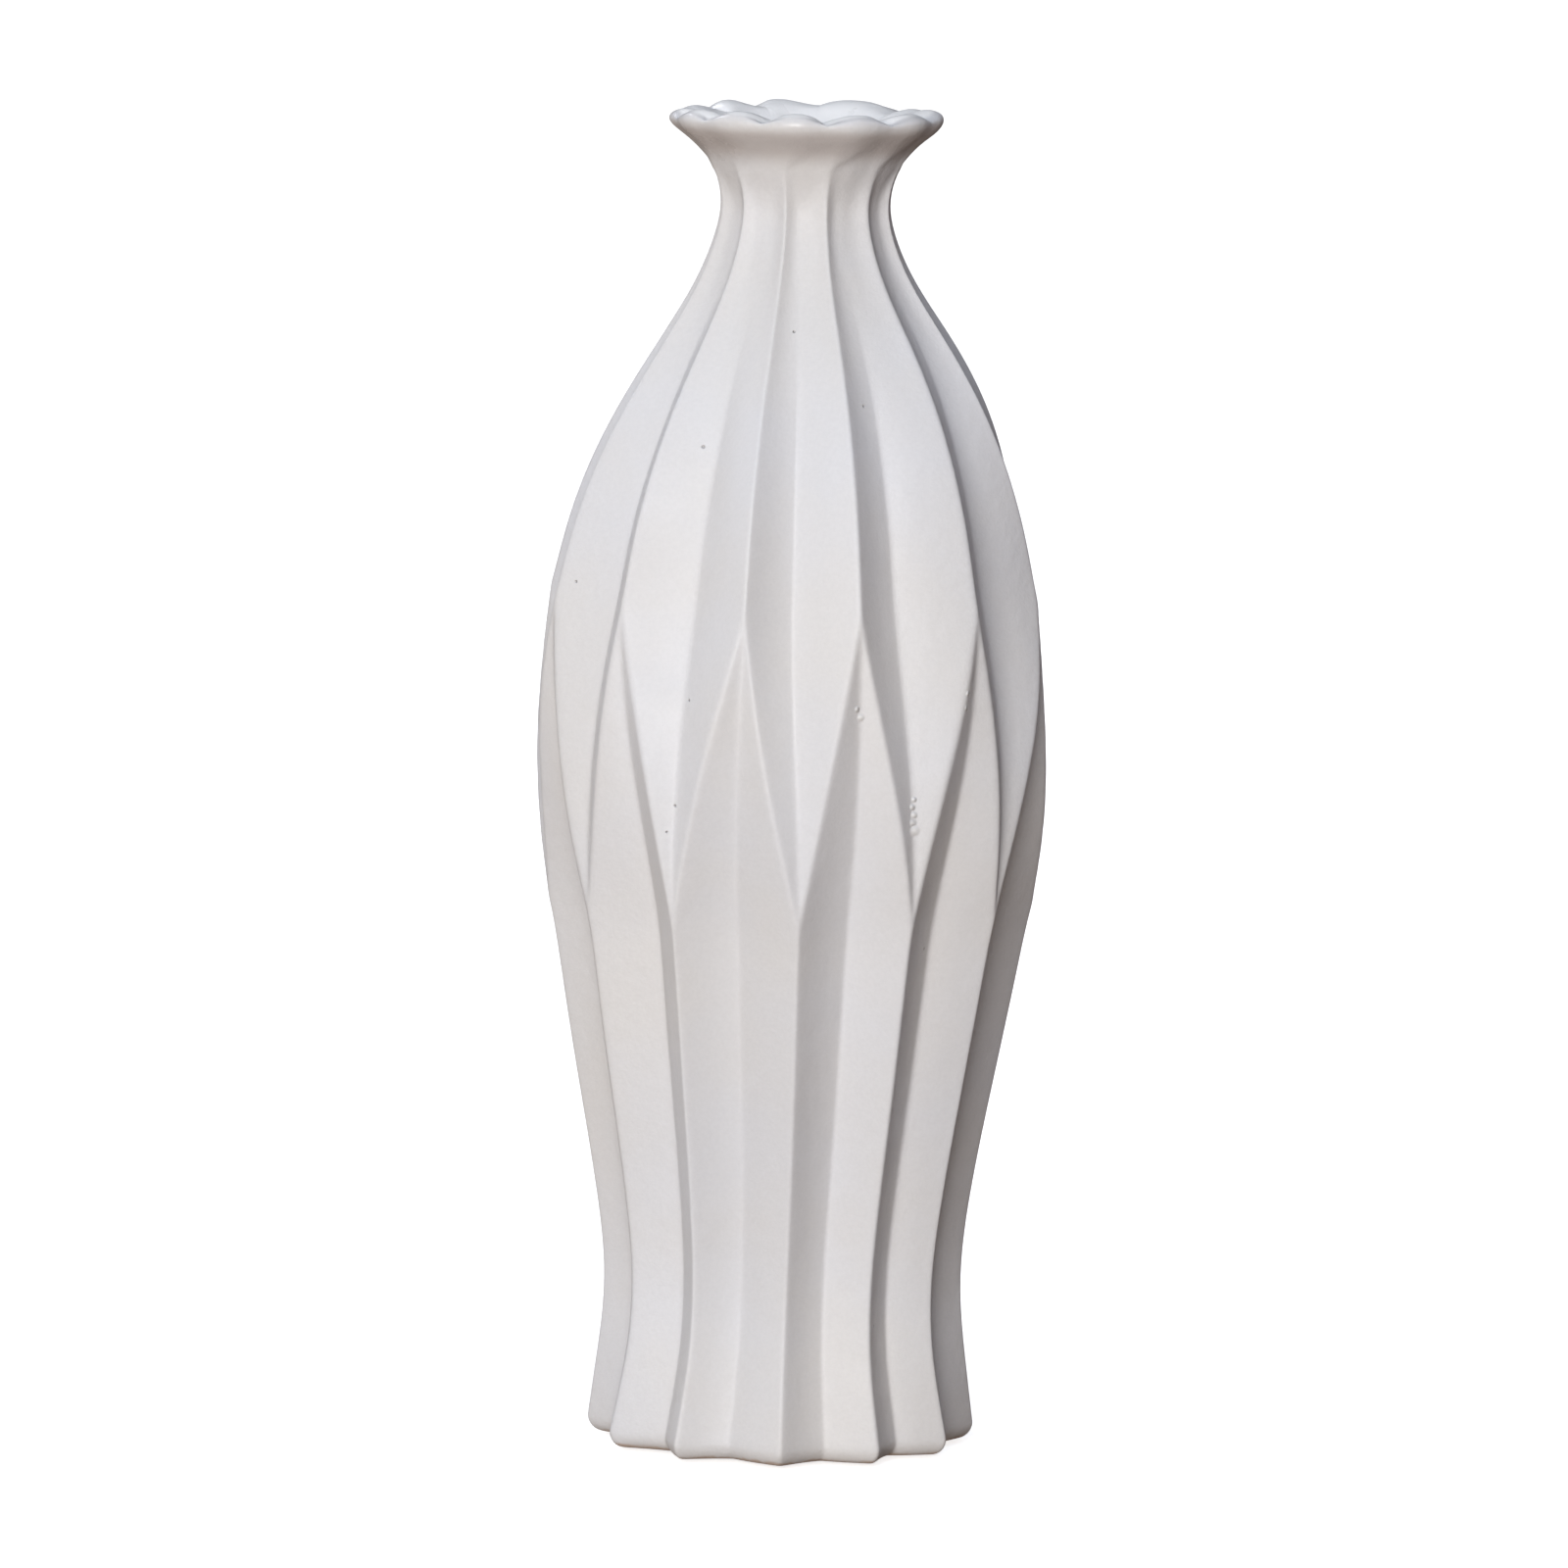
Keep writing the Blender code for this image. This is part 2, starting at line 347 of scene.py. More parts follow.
def flat_face(fold):
    """A flat face's radius as a share of the ridge's, from a valley at 0 to a ridge at HALF_PLEAT."""
    valley = 1 - PLEAT_DEPTH
    across = valley * np.sin(np.radians(fold)) + np.sin(np.radians(HALF_PLEAT - fold))
    return valley * math.sin(math.radians(HALF_PLEAT)) / across


def fold_drops(height, softness):
    """Drop below the ridge radius, as a share of it, across one pleat at FINE_FOLDS."""
    fold = np.minimum(FINE_FOLDS, PLEAT - FINE_FOLDS)
    upper, lower = fold_growth(height)
    flat = 1 - np.minimum(upper * flat_face(fold), lower * flat_face(HALF_PLEAT - fold))
    flute = FLUTE_DEPTH * (1 - (fold / HALF_PLEAT) ** FLUTE_POWER)
    bend = FACE_BEND * mix(1, -1, smooth_step(height, LOWER_TIPS, UPPER_TIPS))
    flat += bend * np.sin(2 * math.pi * FINE_FOLDS / PLEAT)
    drops = mix(flat, flute, smooth_step(height, *FLUTE_HEIGHTS))
    drops = drops * (1 - smooth_step(height, *FLUTE_FADE))
    waves = np.fft.rfft(drops)
    waves *= bell(PLEATS * np.arange(len(waves)) * softness / ridge_radius(height), 1.0)
    return np.fft.irfft(waves, len(drops))


def shifted(azimuth, height):
    """Azimuth moved as the hand-made ridges are."""
    regular = PLEAT_START + HALF_PLEAT * np.arange(2 * PLEATS)
    lower = np.interp(azimuth, regular, np.ravel(LOWER_SHIFTS), period=360)
    upper = np.interp(azimuth, regular, np.ravel(UPPER_SHIFTS), period=360)
    shift = mix(lower, upper, smooth_step(height, LOWER_TIPS, UPPER_TIPS))
    twist = FOOT_TWIST * (1 - smooth_step(height, *FOOT_TWIST_HEIGHTS))
    spread = 1 - smooth_step(height, *FOOT_SPREAD_HEIGHTS)
    spread = FOOT_SPREAD * np.sin(np.radians(azimuth)) * spread
    lean = LEAN * bell(azimuth - LEAN_MIDDLE, LEAN_WIDTH) * smooth_step(height, *LEAN_HEIGHTS)
    return azimuth + twist + spread + lean + shift


def hand_waves(azimuth, height):
    """The lean and the slow unevenness of a hand-finished wall, in millimetres."""
    rng = np.random.default_rng(WAVE_SEED)
    total = sway(height) * np.sin(np.radians(azimuth))
    for count, rise in WAVES:
        phase = rng.uniform(0, 2 * math.pi, 2)
        size = WAVE_SIZE / count**0.5
        turn = np.radians(count * azimuth)
        total += size * np.sin(turn + phase[0] + rise * height)
        total += COUNTER_SIZE * size * np.sin(turn + phase[1] + COUNTER_TURN * rise * height)
    return total


def ring(azimuth, radius, height):
    """Points round the axis, in metres."""
    turn = np.radians(azimuth)
    height = np.broadcast_to(height, azimuth.shape)
    return np.stack((radius * np.sin(turn), -radius * np.cos(turn), height), axis=1) * MM


def full_turn(count):
    return np.linspace(0, 360, count, endpoint=False)


def pleat_azimuths(height):
    """The azimuth and the fold of each column."""
    folds = gathered_folds(leg_fold(height))
    regular = (PLEAT_START + PLEAT * np.arange(PLEATS)[:, None] + folds).ravel()
    return shifted(regular, height), np.tile(folds, PLEATS)


def wall_ring(height, inward=0.0, softness=FOLD_SOFTNESS):
    """Azimuths and radii on the pleated wall: its outer face, or moved inward."""
    azimuth, folds = pleat_azimuths(height)
    drops = np.interp(folds, FINE_FOLDS, fold_drops(height, softness), period=PLEAT)
    radius = ridge_radius(height) * (1 - drops) + hand_waves(azimuth, height)
    return azimuth, radius - inward


def notch_edges():
    """The three columns of NOTCHES. The first two repeat the first notch a turn further on."""
    edges, depths, falls = np.array([*NOTCHES, NOTCHES[0]]).T
    edges[-1] += 360
    return edges, depths, falls[:-1]


def notch_depth(azimuth):
    """About 1 in a notch between two scallops and 0 on the crest of a scallop, off its middle."""
    edges, depths, _ = notch_edges()
    turned = (azimuth - edges[0]) % 360 + edges[0]
    place = np.interp(turned, edges, np.arange(PLEATS + 1)) % 1
    lean = CREST_LEAN - CREST_LEAN_SWING * np.cos(np.radians(azimuth))
    return np.interp(turned, edges, depths) * np.abs(2 * place**lean - 1) ** NOTCH_POWER


def rim_fall(azimuth):
    """How far the rim stands below its mean level, in millimetres."""
    edges, _, falls = notch_edges()
    return np.interp(azimuth, (edges[:-1] + edges[1:]) / 2, falls, period=360)


def notch_azimuths():
    """The azimuth of each column on the rim, where a scallop takes the place of a pleat."""
    edges, _, _ = notch_edges()
    return (edges[:-1, None] + np.diff(edges)[:, None] * gathered_folds(0.0) / PLEAT).ravel()


def lip_ring(height, radius, share):
    """A ring on the lip, from a row of its outline."""
    azimuth, folds = pleat_azimuths(height)
    azimuth = mix(azimuth, notch_azimuths(), smooth_step(height, *LIP_TURN_HEIGHTS))
    drops = fold_drops(min(height, JOINT), FOLD_SOFTNESS)
    drops = np.interp(folds, FINE_FOLDS, drops, period=PLEAT)
    notch = share * notch_depth(azimuth)
    radius = radius * (1 - drops) + hand_waves(azimuth, height) - NOTCH_INSET * notch
    fall = rim_fall(azimuth) * smooth_step(height, *RIM_FALL_HEIGHTS)
    return ring(azimuth, radius, height - NOTCH_DROP * notch - fall)


def inner_ring(height):
    """A ring on the inside of the wall, which follows the pleats more softly than the outside."""
    slope = ridge_radius(height + 0.5) - ridge_radius(height - 0.5)
    thick = mix(WALL, NECK_WALL, smooth_step(height, NECK_BOTTOM, JOINT))
    azimuth, radius = wall_ring(height, thick * math.hypot(1, slope), WALL_SOFTNESS)
    return ring(azimuth, radius, height)


def foot_rings():
    """Round the foot's outer edge, from its underside up to the start of the outline."""
    rings = []
    for angle in np.linspace(0, math.pi / 2, FOOT_EDGE_ROWS, endpoint=False):
        level = FOOT + FOOT_EDGE * (1 - math.cos(angle))
        azimuth, radius = wall_ring(FOOT + FOOT_EDGE, FOOT_EDGE * (1 - math.sin(angle)))
        rings.append(ring(azimuth, radius, level))
    return rings


def lip_rings(inner_joint_ring):
    """Over the lip from joint to joint. Past the crest the rings ease into the inner wall's ring."""
    rows = spaced(LIP_PATH, LIP_ROW_STEP)
    rings = [lip_ring(*row) for row in rows]
    gap = inner_joint_ring - rings[-1]
    for number in range(int(np.argmax(rows[:, 0])) + 1, len(rows)):
        rings[number] += gap * (1 - smooth_step(rows[number, 0], JOINT, INNER_BLEND_TOP))
    return rings


def floor_rings():
    """Down the hole that the floor disc fills, from inside the vase to the foot's underside."""
    azimuth, _ = pleat_azimuths(FOOT)
    bulge = BEVEL_BULGE * FOOT_BEVEL
    corners = (
        (FLOOR_RADIUS, FLOOR_TOP),
        (FLOOR_RADIUS, FLOOR_UNDER),
        (FLOOR_RADIUS, FOOT + FOOT_BEVEL),
        (FLOOR_RADIUS + bulge, FOOT + bulge),
        (FLOOR_RADIUS + FOOT_BEVEL, FOOT),
    )
    return [ring(azimuth, radius, height) for radius, height in corners]


def skin_grid():
    """The whole glazed skin as rings of points, and the numbers of the rings at the two joints."""
    rings = foot_rings()
    rings += [ring(*wall_ring(height), height) for height in spaced(BODY_PATH, ROW_STEP)[:, 0]]
    outer_joint = len(rings) - 1
    rings += lip_rings(inner_ring(JOINT))[1:]
    inner_joint = len(rings) - 1
    steps = round((JOINT - FLOOR_TOP) / INNER_ROW_STEP)
    rings += [inner_ring(height) for height in np.linspace(JOINT, FLOOR_TOP + WALL_END, steps)[1:]]
    rings += floor_rings()
    return np.array(rings), outer_joint, inner_joint


def grid_faces(rows, columns, closed=False):
    """Quads between neighbouring rings, and between the last ring and the first if closed."""
    faces = []
    for row in range(rows if closed else rows - 1):
        low, high = row * columns, (row + 1) % rows * columns
        for column in range(columns):
            following = (column + 1) % columns
            faces.append((low + column, low + following, high + following, high + column))
    return faces


def new_mesh(name, points, faces):
    mesh = bpy.data.meshes.new(name)
    mesh.from_pydata(points.reshape(-1, 3), [], faces)
    mesh.shade_smooth()
    return mesh


def show(name, mesh, material):
    thing = bpy.data.objects.new(name, mesh)
    thing.data.materials.append(material)
    bpy.context.scene.collection.objects.link(thing)
    return thing


def glazed_pieces(body_material, lip_material):
    """The skin in two pieces that meet at the joints.

    They share the whole skin's normals, so no seam shows.
    """
    grid, outer, inner = skin_grid()
    rows, columns = grid.shape[:2]
    whole = new_mesh("whole_skin", grid, grid_faces(rows, columns, closed=True))
    normals = np.zeros(grid.size)
    whole.vertex_normals.foreach_get("vector", normals)
    normals = normals.reshape(grid.shape)
    bpy.data.meshes.remove(whole)

    pieces = []
    for name, kept, material in (
        ("glazed_body", [*range(inner, rows), *range(outer + 1)], body_material),
        ("glazed_lip", [*range(outer, inner + 1)], lip_material),
    ):
        mesh = new_mesh(name, grid[kept], grid_faces(len(kept), columns))
        mesh.normals_split_custom_set_from_vertices(normals[kept].reshape(-1, 3))
        pieces.append(show(name, mesh, material))
    return pieces


def biscuit_floor(material):
    """The floor disc."""
    across = np.linspace(DISC_HOLE, FLOOR_RADIUS - DISC_BEVEL, DISC_ROWS)
    waves = sum(size * np.sin(across * turn) for size, turn in TURNING_RINGS)
    dish = DISH * bell(across, DISH_WIDTH)
    under = FLOOR_UNDER + dish + waves
    top = FLOOR_TOP + waves - dish / 2
    profile = [*zip(across, under), (FLOOR_RADIUS, FLOOR_UNDER + DISC_BEVEL_UNDER)]
    profile += [(FLOOR_RADIUS, FLOOR_TOP - DISC_BEVEL_TOP), *zip(across[::-1], top[::-1])]
    azimuth = full_turn(DISC_COLUMNS)
    rings = np.array([ring(azimuth, radius, height) for radius, height in profile])
    faces = grid_faces(len(rings), DISC_COLUMNS)
    last = (len(rings) - 1) * DISC_COLUMNS
    faces.append(tuple(range(DISC_COLUMNS))[::-1])
    faces.append(tuple(range(last, last + DISC_COLUMNS)))
    return show("biscuit_floor", new_mesh("biscuit_floor", rings, faces), material)


def feed(tree, socket, value):
    """Links an input from another node's output, or sets it to a plain value."""
    if isinstance(value, bpy.types.NodeSocket):
        tree.links.new(value, socket)
    else:
        socket.default_value = value


def add(tree, kind, settings=None, **inputs):
    """A node with its settings. An input's name is written with _ for each space."""
    node = tree.nodes.new(kind)
    for key, value in (settings or {}).items():
        setattr(node, key, value)
    for key, value in inputs.items():
        feed(tree, node.inputs[key.replace("_", " ")], value)
    return node


def combine(tree, kind, settings, sockets, values):
    """A node whose inputs go by number."""
    node = add(tree, kind, settings)
    for number, value in zip(sockets, values):
        feed(tree, node.inputs[number], value)
    return node


def noise(tree, coords, scale, detail=2.0, roughness=0.5):
    inputs = {"Scale": scale, "Detail": detail, "Roughness": roughness}
    return add(tree, "ShaderNodeTexNoise", Vector=coords, **inputs).outputs["Fac"]


def remap(tree, value, low, high, to_low=0.0, to_high=1.0):
    inputs = {"From_Min": low, "From_Max": high, "To_Min": to_low, "To_Max": to_high}
    settings = {"interpolation_type": "SMOOTHSTEP"}
    return add(tree, "ShaderNodeMapRange", settings, Value=value, **inputs).outputs["Result"]


def calculate(tree, operation, first, second):
    settings = {"operation": operation}
    node = combine(tree, "ShaderNodeMath", settings, (0, 1), (first, second))
    return node.outputs["Value"]


def calculate_vector(tree, operation, *values):
    return combine(tree, "ShaderNodeVectorMath", {"operation": operation}, (0, 1), values).outputs


def blend(tree, factor, first, second, kind="MIX"):
    settings = {"data_type": "RGBA", "blend_type": kind}
    return combine(tree, "ShaderNodeMix", settings, (0, 6, 7), (factor, first, second)).outputs[2]


def height_of(tree, coords):
    return add(tree, "ShaderNodeSeparateXYZ", Vector=coords).outputs["Z"]


def bump(tree, height, distance, under=None):
    """A pattern raised by so many millimetres, on top of another bump if there is one."""
    node = add(tree, "ShaderNodeBump", Height=height, Distance=distance * MM, Strength=1.0)
    if under is not None:
        feed(tree, node.inputs["Normal"], under)
    return node.outputs["Normal"]


def grey(value):
    return (value, value, value, 1.0)


# Small lumps in a run of glaze beside a fold: azimuth, height and radius
LUMPS = (
    (30.1, 106.2, 0.42),
    (29.6, 105.0, 0.50),
    (30.0, 103.8, 0.55),
    (29.6, 102.6, 0.65),
    (30.0, 101.4, 0.85),
    (14.8, 120.6, 0.48),
    (15.8, 119.3, 0.58),
    (43.0, 122.4, 0.45),
    (42.6, 120.2, 0.45),
)

# Pinholes in the glaze: azimuth, height and radius
PINHOLES = (
    (-26.0, 121.0, 0.22),
    (-28.0, 104.6, 0.24),
    (-29.5, 100.5, 0.18),
    (-32.5, 159.4, 0.30),
    (-3.0, 177.2, 0.22),
    (23.5, 166.2, 0.22),
    (41.5, 81.8, 0.26),
    (33.0, 22.0, 0.26),
    (88.0, 120.0, 0.24),
    (132.0, 66.0, 0.26),
    (171.0, 149.0, 0.22),
    (214.0, 98.0, 0.26),
    (247.0, 44.0, 0.22),
    (292.0, 137.0, 0.24),
)

# A spot is full up to the first share of its radius, and gone from the second on.
SPOT_CENTRE = 0.1
SPOT_EDGE = 1.3

# Most of a noise's values lie in this span.
NOISE_SPAN = (0.3, 0.7)

GLAZE_COOL = (0.700, 0.700, 0.715, 1.0)
GLAZE_WARM = (0.705, 0.690, 0.675, 1.0)
# Painted shade, darker and browner, under the lip's flare
GLAZE_PAINTED_SHADE = (0.510, 0.465, 0.440, 1.0)
# Painted light inside the lip; on the lumps partly thick glaze, partly a painted glint
GLAZE_PAINTED_LIGHT_AND_THICK = (0.955, 0.945, 0.920, 1.0)
PINHOLE_BROWN = (0.300, 0.265, 0.235, 1.0)
FOOT_CLAY = (0.560, 0.455, 0.385, 1.0)
BISCUIT_PALE = (0.640, 0.585, 0.530, 1.0)
BISCUIT_DARK = (0.570, 0.505, 0.450, 1.0)
BISCUIT_SPECK = (0.280, 0.230, 0.190, 1.0)
RUBBER_DARK = (0.030, 0.029, 0.029, 1.0)
RUBBER_DUST = (0.085, 0.080, 0.075, 1.0)

BODY_GLOSS = 0.56
LIP_GLOSS = 0.31

# Where light is painted on the inside of the lip and shade under its flare, and where the foot is
# wiped bare. The slant is the distance from the axis less a share of the height: it grows from the
# inside of the lip outwards.
SLANT_SHARE = 0.95
RIM_SLANTS = (-180.4, -178.9)
FLARE_HEIGHTS = (202.0, 205.5)
RIM_EDGE_HEIGHTS = (207.2, 209.0)
BARE_EDGE = (0.25, 0.85)
BARE_EDGE_WANDER = 0.45


def on_wall(azimuth, height):
    """The point of the outer wall at an azimuth and a height."""
    azimuths, radius = wall_ring(height)
    radius = np.interp(azimuth, azimuths, radius, period=360)
    return tuple(float(x) for x in ring(np.array([azimuth]), radius, height)[0])


def spots(tree, coords, places):
    """1 in small round spots on the wall and 0 elsewhere."""
    mask = 0.0
    for azimuth, height, size in places:
        away = calculate_vector(tree, "DISTANCE", coords, on_wall(azimuth, height))["Value"]
        spot = remap(tree, away, SPOT_CENTRE * size * MM, SPOT_EDGE * size * MM, 1.0, 0.0)
        mask = calculate(tree, "MAXIMUM", spot, mask)
    return mask


def new_material(name):
    material = bpy.data.materials.new(name)
    material.use_nodes = True
    tree = material.node_tree
    coords = add(tree, "ShaderNodeTexCoord").outputs["Object"]
    return material, tree, coords, tree.nodes["Principled BSDF"]


def dress(tree, shader, **sockets):
    """Links or sets the shader's inputs by name."""
    for key, value in sockets.items():
        feed(tree, shader.inputs[key.replace("_", " ")], value)


def tint(tree, colour, mask, strength, other):
    """A colour mixed with another one, by so much where the mask is 1."""
    return blend(tree, calculate(tree, "MULTIPLY", mask, strength), colour, other)


def lip_zones(tree, coords, height):
    """Two masks: the inside of the lip, where light is painted, and the underside of its flare, where
    shade is painted.
    """
    flat = calculate_vector(tree, "MULTIPLY", coords, (1.0, 1.0, 0.0))["Vector"]
    radius = calculate_vector(tree, "LENGTH", flat)["Value"]
    share = calculate(tree, "MULTIPLY", height, SLANT_SHARE)
    slant = calculate(tree, "SUBTRACT", radius, share)
    slants = [level * MM for level in RIM_SLANTS]
    inside = remap(tree, slant, *slants, 1.0, 0.0)
    outside = remap(tree, slant, *slants)
    flare = remap(tree, height, *(level * MM for level in FLARE_HEIGHTS))
    below_edge = remap(tree, height, *(level * MM for level in RIM_EDGE_HEIGHTS), 1.0, 0.0)
    flare = calculate(tree, "MULTIPLY", flare, below_edge)
    return inside, calculate(tree, "MULTIPLY", flare, outside)


def bare_foot(tree, coords, height):
    """A mask of the ragged strip of bare clay along the foot edge."""
    wander = (-BARE_EDGE_WANDER * MM, BARE_EDGE_WANDER * MM)
    ragged = remap(tree, noise(tree, coords, scale=260.0, detail=3.0), 0.2, 0.8, *wander)
    level = calculate(tree, "ADD", height, ragged)
    return remap(tree, level, *((FOOT + edge) * MM for edge in BARE_EDGE), 1.0, 0.0)


def glaze(name, gloss):
    """Off-white satin glaze with faint clouds and grain, a few pinholes and small lumps.

    Inside the lip it is painted lighter as painted light, under the lip's flare it is painted darker
    as painted shade, and along the foot edge the clay is bare.
    """
    material, tree, coords, shader = new_material(name)
    height = height_of(tree, coords)
    holes = spots(tree, coords, PINHOLES)
    lumps = spots(tree, coords, LUMPS)
    inside, under = lip_zones(tree, coords, height)
    bare = bare_foot(tree, coords, height)

    clouds = remap(tree, noise(tree, coords, scale=26.0, detail=3.0), *NOISE_SPAN)
    colour = blend(tree, clouds, GLAZE_COOL, GLAZE_WARM)
    grain = noise(tree, coords, scale=1500.0, detail=3.0, roughness=0.7)
    grain = remap(tree, grain, *NOISE_SPAN, 0.965, 1.0)
    colour = blend(tree, 1.0, colour, grain, "MULTIPLY")
    colour = tint(tree, colour, holes, 0.4, PINHOLE_BROWN)
    # The lumps are whitened: partly thick glaze, partly a painted glint.
    colour = tint(tree, colour, lumps, 0.5, GLAZE_PAINTED_LIGHT_AND_THICK)
    # Painted light: the inside of the lip is painted lighter.
    colour = blend(tree, inside, colour, GLAZE_PAINTED_LIGHT_AND_THICK)
    # Painted shade: the underside of the lip's flare is painted darker.
    colour = tint(tree, colour, under, 0.85, GLAZE_PAINTED_SHADE)
    colour = blend(tree, bare, colour, FOOT_CLAY)

    patches = noise(tree, coords, scale=90.0, detail=4.0)
    sheen = remap(tree, patches, *NOISE_SPAN, gloss - 0.05, gloss + 0.07)
    sheen = calculate(tree, "SUBTRACT", sheen, calculate(tree, "MULTIPLY", lumps, 0.3))
    rough = calculate(tree, "MAXIMUM", sheen, calculate(tree, "MULTIPLY", bare, 0.85))

    peel = bump(tree, noise(tree, coords, scale=420.0, detail=3.0), 0.12)
    skin = bump(tree, noise(tree, coords, scale=2200.0), 0.03, peel)
    relief = bump(tree, calculate(tree, "SUBTRACT", lumps, holes), 0.28, skin)
    dress(tree, shader, Base_Color=colour, Roughness=rough, Normal=relief)
    return material


def biscuit():
    """Bare fired clay below, and thin glaze on the side that faces the inside."""
    material, tree, coords, shader = new_material("bare_biscuit")
    clouds = remap(tree, noise(tree, coords, scale=70.0, detail=4.0), *NOISE_SPAN)
    clay = blend(tree, clouds, BISCUIT_PALE, BISCUIT_DARK)
    specks = remap(tree, noise(tree, coords, scale=900.0), 0.68, 0.78)
    clay = tint(tree, clay, specks, 0.5, BISCUIT_SPECK)
    glaze_line = (FLOOR_TOP - 2.0) * MM, (FLOOR_TOP - 1.5) * MM
    glazed = remap(tree, height_of(tree, coords), *glaze_line)
    colour = blend(tree, glazed, clay, GLAZE_WARM)
    rough = remap(tree, glazed, 0.0, 1.0, 0.88, 0.42)
    grain = bump(tree, noise(tree, coords, scale=1100.0, detail=4.0, roughness=0.7), 0.2)
    dress(tree, shader, Base_Color=colour, Roughness=rough, Normal=grain)
    return material


def rubber():
    """Dark grey rubber with a fine moulded grain and a little dust."""
    material, tree, coords, shader = new_material("pad_rubber")
    dust = remap(tree, noise(tree, coords, scale=300.0, detail=4.0), 0.45, 0.75)
    colour = blend(tree, dust, RUBBER_DARK, RUBBER_DUST)
    rough = remap(tree, dust, 0.0, 1.0, 0.62, 0.9)
    grain = bump(tree, noise(tree, coords, scale=2500.0, detail=3.0), 0.1)
    dress(tree, shader, Base_Color=colour, Roughness=rough, Normal=grain)
    return material


def pale_floor():
    """A pale matt table top that glows more and more outwards, into the white background."""
    material, tree, coords, shader = new_material("table")
    mottle = remap(tree, noise(tree, coords, scale=6.0), *NOISE_SPAN, 0.86, 0.90)
    colour = blend(tree, 1.0, grey(1.0), mottle, "MULTIPLY")
    away = calculate_vector(tree, "LENGTH", coords)["Value"]
    glow = remap(tree, away, 0.03, 0.2, 0.75, 1.0)
    dress(tree, shader, Base_Color=colour, Roughness=0.95, Specular_IOR_Level=0.2)
    dress(tree, shader, Emission_Color=grey(1.0), Emission_Strength=glow)
    return material


def table():
    """A round table top. It lies just under the pads, so that the two faces don't share a plane."""
    azimuth = full_turn(TABLE_COLUMNS)
    radii = np.array(TABLE_RADII) / MM
    rings = np.array([ring(azimuth, radius, TABLE_LEVEL) for radius in radii])
    faces = grid_faces(len(rings), TABLE_COLUMNS)
    last = (len(rings) - 1) * TABLE_COLUMNS
    faces.append(tuple(range(last, last + TABLE_COLUMNS)))
    thing = show("table", new_mesh("table", rings, faces), pale_floor())
    # The glowing table neither lights the vase, shows in its glaze nor shades it.
    thing.visible_diffuse = False
    thing.visible_glossy = False
    thing.visible_shadow = False


# The soft boxes: name, azimuth, elevation, side in metres, power in watts, colour. All stand equally
# far from the vase's middle, in metres.
LIGHT_DISTANCE = 1.7
LIGHTS = (
    ("key", -9, 9.5, 0.7, 24.2, (1.0, 0.972, 0.955)),
    ("high_front", -8, 48, 1.2, 3.6, (0.24, 0.56, 1.0)),
    ("left", -100, 20, 1.2, 3.6, (0.87, 0.90, 1.0)),
    ("right", 98, 38, 1.2, 2.5, (0.80, 0.82, 1.0)),
    ("rear_left", -135, 42, 0.3, 4.5, (0.88, 0.90, 1.0)),
    ("right_low", 58, 8, 1.2, 1.1, (1.0, 0.70, 0.42)),
    ("above", 0, 88, 1.2, 6.0, (0.88, 0.90, 1.0)),
)

# The room's colours at its lower and upper left and right
ROOM_LOW_LEFT = (0.335, 0.280, 0.240, 1.0)
ROOM_LOW_RIGHT = (0.020, 0.000, 0.000, 1.0)
ROOM_HIGH_LEFT = (0.175, 0.180, 0.182, 1.0)
ROOM_HIGH_RIGHT = (0.080, 0.080, 0.075, 1.0)

# The camera, in millimetres and degrees. The lens and its sensor are millimetres at any size of vase.
CAMERA_SIDE = -1.14
CAMERA_AWAY = 2150
CAMERA_HEIGHT = 368
TARGET_HEIGHT = 104.2
CAMERA_ROLL = 1.15
FOCAL_LENGTH = 316.6
SENSOR_WIDTH = 36.0


def facing(direction):
    """The turn that points a lamp or a camera in a direction, with its top up."""
    return direction.to_track_quat("-Z", "Y")


def soft_light(name, azimuth, elevation, size, power, colour):
    """A square soft box that faces the middle of the vase."""
    light = bpy.data.lights.new(name, "AREA")
    light.shape = "SQUARE"
    light.size = size
    light.energy = power
    light.color = colour
    lamp = bpy.data.objects.new(name, light)
    turn, rise = math.radians(azimuth), math.radians(elevation)
    level = math.cos(rise)
    away = Vector((math.sin(turn) * level, -math.cos(turn) * level, math.sin(rise)))
    lamp.location = Vector((0, 0, VASE_MIDDLE * MM)) + away * LIGHT_DISTANCE
    lamp.rotation_euler = facing(-away).to_euler()
    bpy.context.scene.collection.objects.link(lamp)


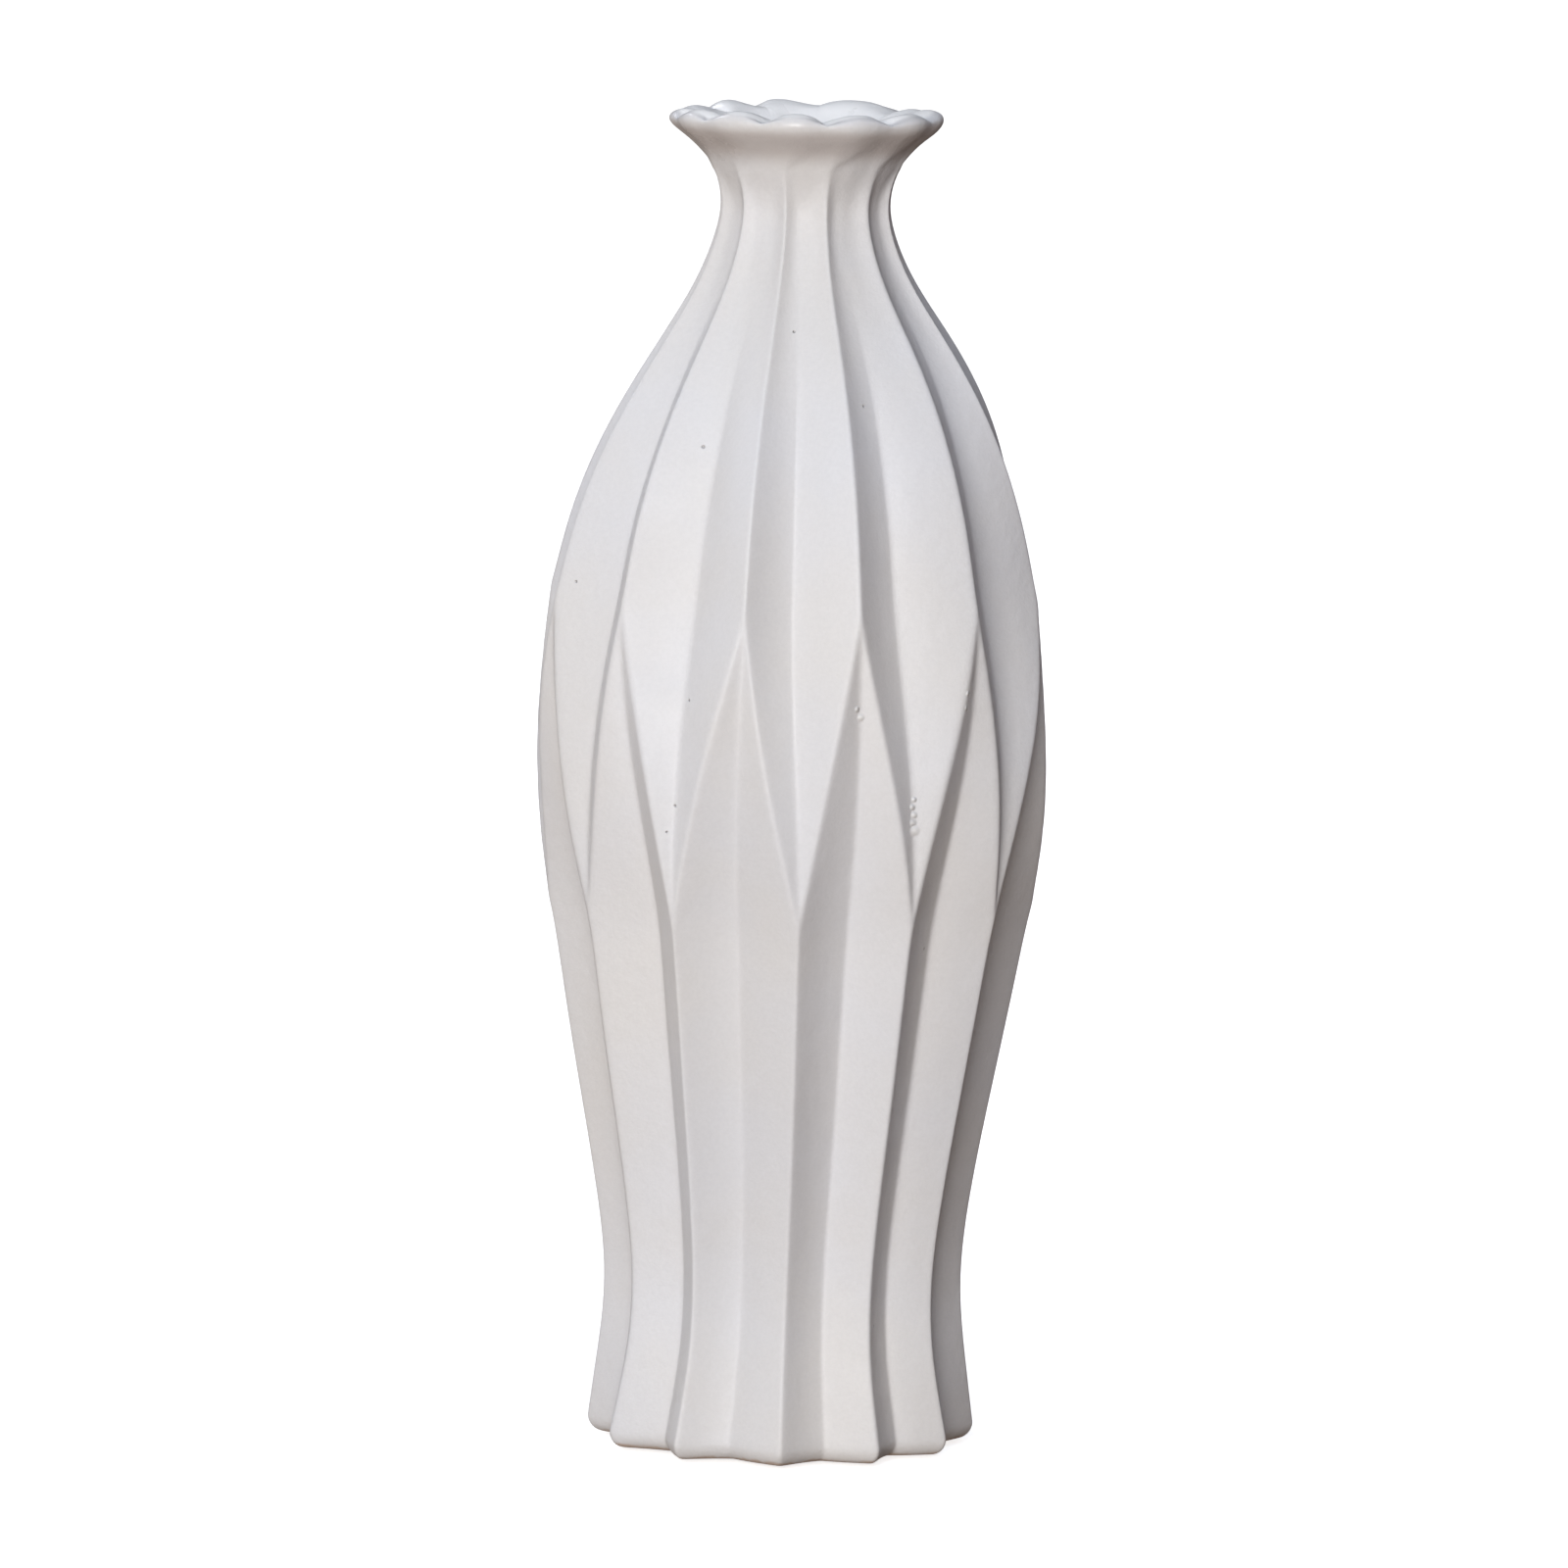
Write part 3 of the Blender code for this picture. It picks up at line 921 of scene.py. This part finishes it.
def surroundings():
    """A dim room, lightest low on the left, and the white backdrop that the camera sees instead."""
    world = bpy.data.worlds.new("studio")
    bpy.context.scene.world = world
    world.use_nodes = True
    tree = world.node_tree
    tree.nodes.clear()
    direction = add(tree, "ShaderNodeTexCoord").outputs["Generated"]
    parts = add(tree, "ShaderNodeSeparateXYZ", Vector=direction).outputs
    side = remap(tree, parts["X"], -0.9, 0.9)
    rise = remap(tree, parts["Z"], -0.6, 0.7)
    low = blend(tree, side, ROOM_LOW_LEFT, ROOM_LOW_RIGHT)
    high = blend(tree, side, ROOM_HIGH_LEFT, ROOM_HIGH_RIGHT)
    room = add(tree, "ShaderNodeBackground", Color=blend(tree, rise, low, high), Strength=1.0)
    backdrop = add(tree, "ShaderNodeBackground", Color=grey(1.0), Strength=1.0)
    seen = add(tree, "ShaderNodeLightPath").outputs["Is Camera Ray"]
    shaders = (seen, room.outputs[0], backdrop.outputs[0])
    both = combine(tree, "ShaderNodeMixShader", None, (0, 1, 2), shaders)
    add(tree, "ShaderNodeOutputWorld", Surface=both.outputs[0])


def camera():
    """A long lens a little above the vase, which it sees slightly right of the middle and rolled."""
    lens = bpy.data.cameras.new("camera")
    lens.lens = FOCAL_LENGTH
    lens.sensor_width = SENSOR_WIDTH
    eye = bpy.data.objects.new("camera", lens)
    place = Vector((CAMERA_SIDE * MM, -CAMERA_AWAY * MM, CAMERA_HEIGHT * MM))
    target = Vector((CAMERA_SIDE * MM, 0.0, TARGET_HEIGHT * MM))
    aim = facing(target - place).to_matrix().to_4x4()
    roll = Matrix.Rotation(math.radians(CAMERA_ROLL), 4, "Z")
    eye.matrix_world = Matrix.Translation(place) @ aim @ roll
    bpy.context.scene.collection.objects.link(eye)
    bpy.context.scene.camera = eye


def main():
    body, lip = glazed_pieces(glaze("body_glaze", BODY_GLOSS), glaze("lip_glaze", LIP_GLOSS))
    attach(body, "root")
    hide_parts("pleated_body")
    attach(lip, "root")
    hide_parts("scalloped_lip")
    floor = biscuit_floor(biscuit())
    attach(floor, "root")
    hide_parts("base_plate")
    pad_material = rubber()
    for name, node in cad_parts.items():
        if name.startswith("foot_pad"):
            node.material_slots[0].material = pad_material

    table()
    surroundings()
    for light in LIGHTS:
        soft_light(*light)
    camera()
    bpy.context.scene.view_settings.view_transform = "Standard"


main()
